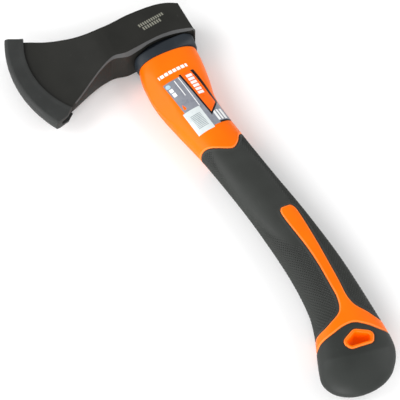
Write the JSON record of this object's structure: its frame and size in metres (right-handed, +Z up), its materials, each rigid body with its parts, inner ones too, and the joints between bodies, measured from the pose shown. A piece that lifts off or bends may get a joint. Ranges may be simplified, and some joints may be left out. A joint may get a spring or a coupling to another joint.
{
  "type": "felling axe",
  "caption": "Short one-hand felling axe lying on its side: forged wedge head, curved moulded handle with soft grip and hang hole, slip-on crescent edge guard.",
  "frame": {"origin": "centre of the model's footprint, on the surface that the axe lies on", "axes": "+Z up through the thickness, +Y from the butt to the head, -X the way the cutting edge faces, +X the poll side"},
  "size_m": [0.1482, 0.3846, 0.0289],
  "materials": {
    "head_black": "satin black paint",
    "guard_plastic": "moulded, fine matt texture",
    "collar_plastic": "moulded, satin",
    "epoxy": "cured resin",
    "glass_fibre": "pultruded glass fibre",
    "orange_plastic": "moulded, semi-gloss",
    "grip_rubber": "knurled soft grip",
    "butt_rubber": "smooth soft grip",
    "label_film": "printed film"
  },
  "bodies": {
    "axe": {"axe_head": "head_black", "collar": "collar_plastic", "eye_resin": "epoxy", "fibreglass_core": "glass_fibre", "handle_jacket": "orange_plastic", "grip_sleeve": "grip_rubber", "butt_cap": "butt_rubber", "product_label": "label_film"},
    "guard": {"edge_guard": "guard_plastic"}
  },
  "joints": [
    {"name": "guard_pull", "type": "slide", "parent": "axe", "child": "guard", "axis": [-1, 0, 0], "range_m": [0, 0.06]}
  ]
}
